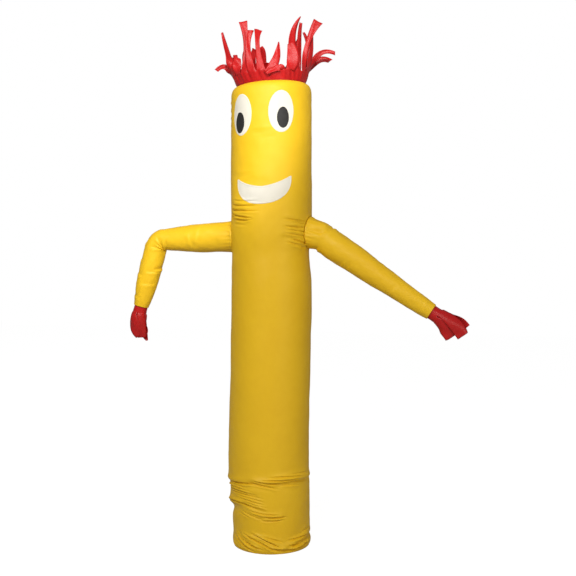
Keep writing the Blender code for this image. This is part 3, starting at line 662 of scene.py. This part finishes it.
def arm(name, side, stations, shape, creases, finish):
    """An arm of cloth from its seam on the body to its wrist, where its edge is turned in."""
    turns = 2 * math.pi * np.arange(ARM_COLUMNS) / ARM_COLUMNS
    degrees = np.degrees(turns)
    rings, walks = [], []
    before, walked = armhole_centre(side), 0.0
    front = Vector((0.0, -1.0, 0.0))
    length = arm_length(side, stations)
    for place, along in stations:
        walked += (place - before).length
        before = place
        upper = side * front.cross(along).normalized()
        at = np.array(walked)
        radius = float(smooth(shape, at, 1))
        lifted = np.array(place) + (0.0, 0.0, float(smooth(shape, at, 2)))
        bulge = fold_field(creases, degrees, at, math.radians(1.0) * ARM_MEAN_RADIUS)
        bulge = bulge + ripple_field(degrees + 40 * side, at * 1.7 + side, 0.8)
        reach = radius + bulge * float(ramp(length - walked, 0.0, 0.02))
        ring = lifted + reach[:, None] * (
            np.cos(turns)[:, None] * np.array(upper) + np.sin(turns)[:, None] * np.array(front)
        )
        rings.append(ring)
        walks.append(walked)
    root = armhole_ring(side, ARMHOLE_RADIUS, SEAM_GAP)
    flange = armhole_ring(side, ARMHOLE_RADIUS - ARM_FLANGE, SEAM_GAP * 0.6)
    first, second = rings[0], rings[1]
    lead = []
    leaving = np.array(stations[0][1])
    gap = np.linalg.norm(first - root, axis=1)[:, None]
    start_way = leaving[None, :] * gap * 0.9
    end_way = (second - first) / np.linalg.norm(second - first, axis=1)[:, None] * gap * 0.9
    for i in range(1, ARM_LEAD_ROWS):
        t = i / ARM_LEAD_ROWS
        ring = eased(t, root, start_way, first, end_way)
        pucker = 0.0013 * np.sin(23 * turns + 1.3 * np.sin(3 * turns)) + 0.0008 * np.sin(37 * turns)
        pucker = pucker * (1 - t) ** 1.5 * min(1.0, 8 * t) + 0.0016 * math.exp(-(((t - 0.12) / 0.07) ** 2))
        lead.append(ring + pucker[:, None] * (ring - ring.mean(axis=0)) / 0.05)
    end = rings[-1]
    middle = end.mean(axis=0)
    direction = np.array(stations[-1][1])
    hem = [middle + (end - middle) * (1 - d / WRIST_RADIUS) - direction * back for d, back in WRIST_TURN]
    everything = np.array([flange, root, *lead, *rings, *hem])
    marks = [-ARM_FLANGE, 0.0] + [walks[0] * i / ARM_LEAD_ROWS for i in range(1, ARM_LEAD_ROWS)] + walks
    marks += [walks[-1] + d for d in (0.001, 0.002, 0.007)]
    across = np.broadcast_to(turns[None, :] * ARM_FLAT_RADIUS, everything.shape[:2])
    places = np.stack([across, np.broadcast_to(np.array(marks)[:, None], across.shape)], axis=-1)
    faces = grid_faces(len(everything), ARM_COLUMNS, True)
    return add_sheet(name, everything.reshape(-1, 3), faces, places.reshape(-1, 2), finish)


def arm_length(side, stations):
    """The way along an arm from its armhole to its wrist."""
    places = [armhole_centre(side)] + [place for place, _ in stations]
    return sum((after - before).length for before, after in zip(places, places[1:]))


def patch(name, rows, places, closed, finish):
    """A sheet laid on the body from rows of points. Closed rows join their ends."""
    points = np.concatenate(rows)
    columns = len(rows[0])
    faces = [tuple(f) for f in grid_faces(len(rows), columns, closed)]
    return add_sheet(name, points, faces, np.concatenate(places), finish)


def oval(name, angle, height, wide, tall, out, border, finish):
    """An oval of cloth on the body, with a raised satin border and its edge turned down."""
    columns, rows, places = 120, [], []
    turn = 2 * math.pi * np.arange(columns) / columns
    shares = [0.02, 0.06] + [0.06 + 0.94 * i / 22 for i in range(1, 23)]
    edge = border / (tall / 2)
    for share in shares:
        rise = 0.0006 * (1 - share**4)
        if share > 1 - edge:
            rise += 0.0007 * math.sin(math.pi * min(1.0, (share - 1 + edge) / edge)) ** 0.6
        rows.append(oval_row(angle, height, wide, tall, share, turn, out + rise))
        places.append(oval_places(wide, tall, share, turn))
    for grow, lower in ((0.0004, 0.0003), (0.0005, 0.0007)):
        rows.append(oval_row(angle, height, wide + 2 * grow, tall + 2 * grow, 1.0, turn, max(out - lower, 0.0001)))
        places.append(oval_places(wide + 2 * grow, tall + 2 * grow, 1.0, turn))
    made = patch(name, rows, places, True, finish)
    close_middle(made, columns)
    return made


def oval_row(angle, height, wide, tall, share, turn, out):
    across = np.degrees(share * wide / 2 * np.sin(turn) / BODY_RADIUS)
    return body_points(angle + across, height + share * tall / 2 * np.cos(turn), out)


def oval_places(wide, tall, share, turn):
    return np.stack([share * wide / 2 * np.sin(turn), share * tall / 2 * np.cos(turn)], axis=-1)


def close_middle(made, columns):
    """Fills the small hole inside the first row."""
    bm = bmesh.new()
    bm.from_mesh(made.data)
    bm.verts.ensure_lookup_table()
    uv = bm.loops.layers.uv.active
    first = [bm.verts[i] for i in range(columns)]
    centre = bm.verts.new(sum((v.co for v in first), Vector()) / columns)
    around = [v.link_loops[0][uv].uv.copy() for v in first]
    for i in range(columns):
        j = (i + 1) % columns
        face = bm.faces.new((centre, first[j], first[i]))
        face.smooth = True
        for loop, place in zip(face.loops, (Vector((0.0, 0.0)), around[j], around[i])):
            loop[uv].uv = place
    bmesh.ops.recalc_face_normals(bm, faces=bm.faces)
    bm.to_mesh(made.data)
    bm.free()


def smile(finish):
    """A crescent of cloth with blunt, upturned tips, a raised border and its edge turned down."""
    columns, layers = 150, 26
    along = -np.cos(math.pi * np.arange(columns) / (columns - 1))
    ends = np.abs(along)
    low = SMILE_LEVEL - SMILE_LOWER_SAG * (1 - ends**2.2) ** 0.45
    blunt = np.sqrt(1 - np.clip((ends - SMILE_ROUNDING) / (1 - SMILE_ROUNDING), 0.0, 1.0) ** 2)
    high = SMILE_LEVEL - SMILE_UPPER_SAG * (1 - along**2) + SMILE_TIP * blunt * ends
    rows, places = [], []
    for layer in range(layers + 1):
        share = 0.5 - 0.5 * math.cos(math.pi * layer / layers)
        height = low + (high - low) * share
        inside = np.minimum(np.minimum(height - low, high - height), (1 - np.abs(along)) * SMILE_HALF_WIDTH)
        rise = 0.0005 * ramp(inside, 0.0, 0.02)
        rise = rise + 0.0008 * np.clip(np.sin(math.pi * np.clip(inside / 0.0045, 0, 1)), 0, 1) ** 0.6
        out = GAP + rise - 0.0004 * (1 - ramp(inside, 0.0, 0.0006))
        angle = SMILE_ANGLE + np.degrees(along * SMILE_HALF_WIDTH / BODY_RADIUS)
        rows.append(body_points(angle, height, out))
        places.append(np.stack([along * SMILE_HALF_WIDTH, height - SMILE_LEVEL], axis=-1))
    return patch("smile_cloth", rows, places, False, finish)


def through(first, middle, last, t):
    """A value on the curve from first, through middle at a half, to last."""
    return (1 - t) * (1 - 2 * t) * first + 4 * t * (1 - t) * middle + t * (2 * t - 1) * last


def seen_place(across, height, toward):
    """The place that hides a point of the upright plane facing the camera, toward metres nearer to it."""
    eye = CAMERA_AWAY * TOWARD + Vector((0.0, 0.0, CAMERA_HEIGHT))
    return eye.lerp(across * ASIDE + Vector((0.0, 0.0, height)), 1 - toward / CAMERA_AWAY)


def seen_ends(root, line):
    """A strip's middle and tip from where the camera sees them."""
    across, height, tip_across, tip_height, keep = line[:5]
    near = root.dot(TOWARD)
    middle = seen_place(across, height, near * (1 + keep) / 2)
    return middle, seen_place(tip_across, tip_height, near * keep), line[5:]


def offset_ends(root, line):
    """A strip's middle and tip from their offsets."""
    return root + Vector(line[0:3]), root + Vector(line[3:6]), line[6:]


def strip_points(ring, centre, root, side, ends, steps, radius, number, settled):
    """Rows of points of a strip from the points of its root on the collar."""
    middle, tip, (turn, middle_width, tip_width, slant, flutter) = ends
    places = [through(root, middle, tip, i / steps) for i in range(steps + 1)]
    first_way = (places[1] - places[0]).normalized()
    handed = 1.0 if first_way.cross(TOWARD).dot(side) > 0 else -1.0
    columns = len(ring)
    spread = np.linspace(-1.0, 1.0, columns)
    width = (Vector(ring[-1]) - Vector(ring[0])).length
    outward = (root - centre).normalized()
    rows = []
    facing = 1.0
    for i in range(1, steps + 1):
        t = i / steps
        place = places[i]
        along = (places[min(i + 1, steps)] - places[i - 1]).normalized()
        aim = Matrix.Rotation(math.radians(turn), 3, along) @ (handed * along.cross(TOWARD))
        wish = side.lerp(aim, float(ramp(t, 0.0, settled)))
        across = (wish - wish.dot(along) * along).normalized()
        normal = across.cross(along)
        if i == 1:
            facing = 1.0 if normal.dot(outward) > 0 else -1.0
        normal = normal * facing
        wide = through(width, middle_width, tip_width, t)
        cup = wide * wide / (8 * radius) * (1 - 0.6 * t) + 0.0012 * math.sin(5 * t + number)
        wave = flutter * t * math.sin(2 * math.pi * (1.3 * t + 0.37 * number))
        curl = 0.0016 * np.sin(3.1 * spread + 7 * t + 1.7 * number) * t
        row = (
            np.array(place)
            + np.outer(spread * wide / 2, np.array(across))
            + np.outer(wave + cup * (1 - spread**2) + curl, np.array(normal))
            + np.outer(spread * slant * tip_width / 2 * t**6, np.array(along))
        )
        rows.append(row)
    return rows


def fringe(name, centre, axes, rings, slit, lines, ends, steps, radius, pleats, settled, finish):
    """A collar of cloth round rings of (distance along, radius), its last edge slit into strips."""
    first, second, along = axes
    count, columns = len(lines), 9
    pitch = 2 * math.pi / count
    middles = [pitch * k - math.pi for k in range(count)]
    turns = np.array([m + pitch * (1 - slit) * s / 2 for m in middles for s in np.linspace(-1, 1, columns)])
    size = len(turns)
    points, places, fine = [], [], []
    for (a, r), (b, q) in zip(rings, rings[1:]):
        fine += [(a + (b - a) * i / 8, r + (q - r) * i / 8) for i in range(8)]
    fine.append(rings[-1])
    for at, ring_radius in fine:
        pleat = np.sin(17 * turns + 2.2 * np.sin(3 * turns) + 30 * at) + 0.7 * np.sin(41 * turns + 70 * at)
        wrinkle = pleats * pleat * ramp(np.array(at), 0.0, 0.02)
        reach = ring_radius + wrinkle
        ring = (
            np.array(centre + at * along)
            + np.outer(reach * np.cos(turns), np.array(first))
            + np.outer(reach * np.sin(turns), np.array(second))
        )
        points.extend(ring)
        places.extend(zip(turns * radius, [at] * size))
    faces = [tuple(f) for f in grid_faces(len(fine), size, True)]
    top = size * (len(fine) - 1)
    for k, line in enumerate(lines):
        ring = [points[top + k * columns + j] for j in range(columns)]
        root = Vector(sum(ring) / columns)
        side = math.cos(middles[k]) * second - math.sin(middles[k]) * first
        collar = centre + rings[-1][0] * along
        rows = strip_points(ring, collar, root, side, ends(root, line), steps, radius, k, settled)
        below = [top + k * columns + j for j in range(columns)]
        walked, last = rings[-1][0], np.array(root)
        for row in rows:
            walked += float(np.linalg.norm(row.mean(axis=0) - last))
            last = row.mean(axis=0)
            above = [len(points) + j for j in range(columns)]
            points.extend(row)
            wide = float(np.linalg.norm(row[-1] - row[0]))
            places.extend((middles[k] * radius + wide * s / 2, walked) for s in np.linspace(-1, 1, columns))
            for j in range(columns - 1):
                faces.append((below[j], below[j + 1], above[j + 1], above[j]))
            below = above
    made = add_sheet(name, points, faces, places, finish)
    thick = made.modifiers.new("thickness", "SOLIDIFY")
    thick.thickness = 0.0004
    thick.offset = 0.0
    return made


def hair(finish):
    along = Vector((-TILT, 0.0, 1.0)).normalized()
    axes = (Vector((0.0, -1.0, 0.0)), Vector((1.0, 0.0, TILT)).normalized(), along)
    radius = RIM_RADIUS - CLOTH - 2 * GAP
    rings = ((-HAIR_OVERLAP, radius), (GAP, radius), (HAIR_COLLAR, radius + HAIR_FLARE))
    place = Vector((0.0, 0.0, RIM_HEIGHT))
    slit = HAIR_SLIT * 0.5
    return fringe("hair_cloth", place, axes, rings, slit, HAIR_LINES, seen_ends, 30, radius, 0.0016, 0.5, finish)


def hand(name, wrist, along, radius, lines, finish):
    front = Vector((0.0, -1.0, 0.0))
    axes = (front, along.cross(front).normalized(), along)
    radius -= CLOTH + 2 * GAP
    rings = ((-HAND_OVERLAP, radius), (HAND_COLLAR, radius))
    slit = HAND_SLIT * 0.5
    return fringe(name, wrist, axes, rings, slit, lines, offset_ends, 24, radius, 0.0006, 1.3, finish)


# ---------------------------------------------------------------- finishes


class Nodes:
    """Short calls for a material's node tree."""

    def __init__(self, name):
        self.made = bpy.data.materials.new(name)
        self.made.use_nodes = True
        self.tree = self.made.node_tree
        self.shader = self.tree.nodes["Principled BSDF"]

    def node(self, kind, **settings):
        made = self.tree.nodes.new(kind)
        for key, value in settings.items():
            setattr(made, key, value)
        return made

    def link(self, source, target):
        self.tree.links.new(source, target)

    def math(self, operation, first, second=None, third=None):
        made = self.node("ShaderNodeMath", operation=operation)
        for socket, value in zip(made.inputs, (first, second, third)):
            if value is None:
                continue
            if isinstance(value, (int, float)):
                socket.default_value = value
            else:
                self.link(value, socket)
        return made.outputs[0]

    def noise(self, place, scale, detail=3.0, roughness=0.5):
        made = self.node("ShaderNodeTexNoise")
        made.inputs["Scale"].default_value = scale
        made.inputs["Detail"].default_value = detail
        made.inputs["Roughness"].default_value = roughness
        self.link(place, made.inputs["Vector"])
        return made.outputs[0]

    def between(self, value, low, high, to_low=0.0, to_high=1.0):
        made = self.node("ShaderNodeMapRange")
        self.link(value, made.inputs["Value"])
        for name, number in (("From Min", low), ("From Max", high), ("To Min", to_low), ("To Max", to_high)):
            made.inputs[name].default_value = number
        return made.outputs[0]

    def mix(self, share, first, second):
        made = self.node("ShaderNodeMix", data_type="RGBA")
        self.link(share, made.inputs["Factor"])
        for socket, value in ((made.inputs["A"], first), (made.inputs["B"], second)):
            if isinstance(value, tuple):
                socket.default_value = (*value, 1.0)
            else:
                self.link(value, socket)
        return made.outputs["Result"]


def cloth_material(name, colour, deep, thread, roughness, sheen, stitched, stitch_colour):
    """Woven cloth: a fine plain weave, uneven dye and rows of stitches along its edges."""
    n = Nodes(name)
    place = n.node("ShaderNodeTexCoord")
    split = n.node("ShaderNodeSeparateXYZ")
    n.link(place.outputs["UV"], split.inputs[0])
    u, v = split.outputs[0], split.outputs[1]
    warp = n.math("SINE", n.math("MULTIPLY", u, 2 * math.pi / thread))
    weft = n.math("SINE", n.math("MULTIPLY", v, 2 * math.pi / thread))
    weave = n.math("MULTIPLY", warp, weft)
    ripstop_u = n.math("GREATER_THAN", n.math("FRACT", n.math("DIVIDE", u, 0.0052)), 0.90)
    ripstop_v = n.math("GREATER_THAN", n.math("FRACT", n.math("DIVIDE", v, 0.0052)), 0.90)
    ripstop = n.math("MAXIMUM", ripstop_u, ripstop_v)
    cloudy = n.noise(place.outputs["Object"], 7.0, 4.0, 0.55)
    grime = n.noise(place.outputs["Object"], 38.0, 3.0, 0.6)
    tone = n.math("ADD", n.between(cloudy, 0.3, 0.7, -0.5, 0.5), n.between(grime, 0.3, 0.7, -0.25, 0.25))
    shade = n.math("ADD", n.math("MULTIPLY", tone, 0.28), n.math("MULTIPLY", ripstop, 0.07))
    base = n.mix(n.math("ADD", shade, 0.22), colour, deep)
    height = n.math("ADD", n.math("MULTIPLY", weave, 0.5), n.math("MULTIPLY", ripstop, 0.8))
    if stitched:
        total = None
        for row in stitched:
            line = n.math("LESS_THAN", n.math("ABSOLUTE", n.math("SUBTRACT", v, row)), 0.0006)
            dash = n.math("GREATER_THAN", n.math("FRACT", n.math("DIVIDE", u, 0.0034)), 0.28)
            here = n.math("MULTIPLY", line, dash)
            total = here if total is None else n.math("MAXIMUM", total, here)
        base = n.mix(total, base, stitch_colour)
        height = n.math("ADD", height, n.math("MULTIPLY", total, 3.0))
    n.link(base, n.shader.inputs["Base Color"])
    n.link(n.between(grime, 0.3, 0.7, roughness - 0.05, roughness + 0.06), n.shader.inputs["Roughness"])
    bump = n.node("ShaderNodeBump")
    bump.inputs["Strength"].default_value = 0.35
    bump.inputs["Distance"].default_value = 0.0002
    n.link(height, bump.inputs["Height"])
    n.link(bump.outputs[0], n.shader.inputs["Normal"])
    n.shader.inputs["Sheen Weight"].default_value = sheen
    n.shader.inputs["Sheen Roughness"].default_value = 0.4
    n.shader.inputs["Specular IOR Level"].default_value = 0.25
    return n.made


# ---------------------------------------------------------------- stage


def camera():
    data = bpy.data.cameras.new("camera")
    data.sensor_width = 36.0
    data.lens = CAMERA_LENS
    made = bpy.data.objects.new("camera", data)
    made.location = (
        math.sin(CAMERA_ROUND) * CAMERA_AWAY,
        -math.cos(CAMERA_ROUND) * CAMERA_AWAY,
        CAMERA_HEIGHT,
    )
    made.rotation_euler = (math.pi / 2 - CAMERA_DOWN, 0.0, CAMERA_ROUND - CAMERA_ASIDE)
    bpy.context.scene.collection.objects.link(made)
    bpy.context.scene.camera = made


def lamp(name, kind, energy, place, target, size=1.0, colour=(1.0, 1.0, 1.0)):
    data = bpy.data.lights.new(name, kind)
    data.energy = energy
    data.color = colour
    if kind == "AREA":
        data.size = size
    made = bpy.data.objects.new(name, data)
    made.location = place
    made.rotation_euler = (Vector(target) - Vector(place)).to_track_quat("-Z", "Y").to_euler()
    bpy.context.scene.collection.objects.link(made)
    return data


def seen_by_camera(tree, first, second):
    """A shader that is first for light and second for the camera."""
    path = tree.nodes.new("ShaderNodeLightPath")
    mix = tree.nodes.new("ShaderNodeMixShader")
    tree.links.new(path.outputs["Is Camera Ray"], mix.inputs[0])
    tree.links.new(first, mix.inputs[1])
    tree.links.new(second, mix.inputs[2])
    return mix.outputs[0]


def world():
    made = bpy.data.worlds.new("world")
    made.use_nodes = True
    bpy.context.scene.world = made
    tree = made.node_tree
    around = tree.nodes["Background"]
    around.inputs["Color"].default_value = (1.0, 1.0, 1.0, 1.0)
    around.inputs["Strength"].default_value = 0.24
    seen = tree.nodes.new("ShaderNodeBackground")
    seen.inputs["Color"].default_value = (1.0, 1.0, 1.0, 1.0)
    seen.inputs["Strength"].default_value = 1.0
    shader = seen_by_camera(tree, around.outputs[0], seen.outputs[0])
    tree.links.new(shader, tree.nodes["World Output"].inputs[0])


def floor():
    mesh = bpy.data.meshes.new("floor")
    size = 8.0
    mesh.from_pydata([(-size, -size, 0), (size, -size, 0), (size, size, 0), (-size, size, 0)], [], [(0, 1, 2, 3)])
    made = bpy.data.objects.new("floor", mesh)
    made.location.z = -0.0005
    finish = bpy.data.materials.new("floor")
    finish.use_nodes = True
    tree = finish.node_tree
    pale = tree.nodes["Principled BSDF"]
    pale.inputs["Base Color"].default_value = (0.60, 0.60, 0.59, 1.0)
    pale.inputs["Roughness"].default_value = 0.9
    pale.inputs["Specular IOR Level"].default_value = 0.0
    seen = tree.nodes.new("ShaderNodeBsdfPrincipled")
    seen.inputs["Base Color"].default_value = (0.14, 0.14, 0.14, 1.0)
    seen.inputs["Roughness"].default_value = 0.9
    seen.inputs["Specular IOR Level"].default_value = 0.0
    seen.inputs["Emission Color"].default_value = (1.0, 1.0, 1.0, 1.0)
    seen.inputs["Emission Strength"].default_value = 0.96
    shader = seen_by_camera(tree, pale.outputs[0], seen.outputs[0])
    tree.links.new(shader, tree.nodes["Material Output"].inputs["Surface"])
    made.data.materials.append(finish)
    bpy.context.scene.collection.objects.link(made)


def light():
    """A soft light from the front and above, and a strong one whose lower edge crosses the body aslant."""
    lamp("front", "AREA", 80.0, (-0.4, -3.1, 2.8), (0.0, 0.0, 0.70), 1.6, (1.0, 0.98, 0.95))
    lamp("right", "AREA", 30.0, (2.7, -2.3, 1.5), (0.0, 0.0, 0.60), 1.4, (1.0, 0.94, 0.84))
    place, low, high = Vector(KEY_PLACE), Vector(KEY_EDGE_LOW), Vector(KEY_EDGE_HIGH)
    middle = ((low + high) / 2 - place).normalized()
    beyond = (high - place).cross(low - place).normalized()
    if beyond.z < 0:
        beyond = -beyond
    half = math.radians(KEY_HALF_ANGLE)
    target = place + math.cos(half) * middle + math.sin(half) * beyond
    spot = lamp("head_light", "SPOT", KEY_POWER, place, target)
    spot.spot_size = 2 * half
    spot.spot_blend = 0.10
    spot.shadow_soft_size = 0.10


# ---------------------------------------------------------------- build


def place(piece, node, slot, flat, held, rests_on=(), area=None):
    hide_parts(node)
    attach(piece, "root")


def build():
    bpy.context.scene.view_settings.view_transform = "Standard"
    camera()
    world()
    floor()
    light()
    yellow = cloth_material(
        "yellow_nylon",
        (0.80, 0.50, 0.014),
        (0.70, 0.39, 0.006),
        0.0007,
        0.46,
        0.0,
        (0.0165, 1.5430),
        (0.60, 0.38, 0.02),
    )
    arms = cloth_material(
        "yellow_nylon_arms",
        (0.80, 0.50, 0.014),
        (0.70, 0.39, 0.006),
        0.0007,
        0.46,
        0.0,
        (0.006,),
        (0.60, 0.38, 0.02),
    )
    red = cloth_material(
        "red_nylon", (0.50, 0.011, 0.011), (0.22, 0.003, 0.004), 0.0007, 0.34, 0.0, (-0.004, 0.004), (0.25, 0.01, 0.01)
    )
    white = cloth_material("white_cloth", (0.72, 0.69, 0.60), (0.62, 0.57, 0.47), 0.0008, 0.62, 0.0, (), None)
    black = cloth_material("black_cloth", (0.022, 0.021, 0.020), (0.010, 0.010, 0.010), 0.0008, 0.5, 0.0, (), None)
    place(body(yellow), "body_tube", "yellow_nylon", (0.854, 1.60), "stretched")
    right, left = arm_right_stations(), arm_left_stations()
    body_node = ("body_cloth",)
    place(
        arm("arm_right_cloth", 1, right, ARM_RIGHT_SHAPE, ARM_RIGHT_CREASES, arms),
        "arm_right",
        "yellow_nylon",
        (0.317, 0.50),
        "stretched",
        body_node,
        0.122,
    )
    place(
        arm("arm_left_cloth", -1, left, ARM_LEFT_SHAPE, ARM_LEFT_CREASES, arms),
        "arm_left",
        "yellow_nylon",
        (0.327, 0.53),
        "stretched",
        body_node,
        0.130,
    )
    place(
        hand("hand_right_cloth", *right[-1], ARM_RIGHT_SHAPE[-1][1], HAND_RIGHT_LINES, red),
        "hand_right",
        "red_nylon",
        (0.150, 0.125),
        "hung",
        ("arm_right_cloth",),
    )
    place(
        hand("hand_left_cloth", *left[-1], ARM_LEFT_SHAPE[-1][1], HAND_LEFT_LINES, red),
        "hand_left",
        "red_nylon",
        (0.145, 0.120),
        "hung",
        ("arm_left_cloth",),
    )
    place(hair(red), "hair", "red_nylon", (0.72, 0.20), "gathered", body_node, 0.13)
    for name, eye_angle, pupil_angle, pupil_height in EYES:
        place(
            oval(f"eye_{name}_cloth", eye_angle, EYE_LEVEL, EYE_WIDTH, EYE_HEIGHT, GAP, 0.0035, white),
            f"eye_{name}",
            "white_cloth",
            (EYE_WIDTH, EYE_HEIGHT),
            "laid",
            body_node,
            0.0090,
        )
        place(
            oval(
                f"pupil_{name}_cloth",
                pupil_angle,
                pupil_height,
                PUPIL_WIDTH,
                PUPIL_HEIGHT,
                GAP + 0.0013,
                0.0028,
                black,
            ),
            f"pupil_{name}",
            "black_cloth",
            (PUPIL_WIDTH, PUPIL_HEIGHT),
            "laid",
            (f"eye_{name}_cloth",),
            0.00205,
        )
    place(smile(white), "smile", "white_cloth", (0.198, 0.09), "laid", body_node, 0.0077)


build()
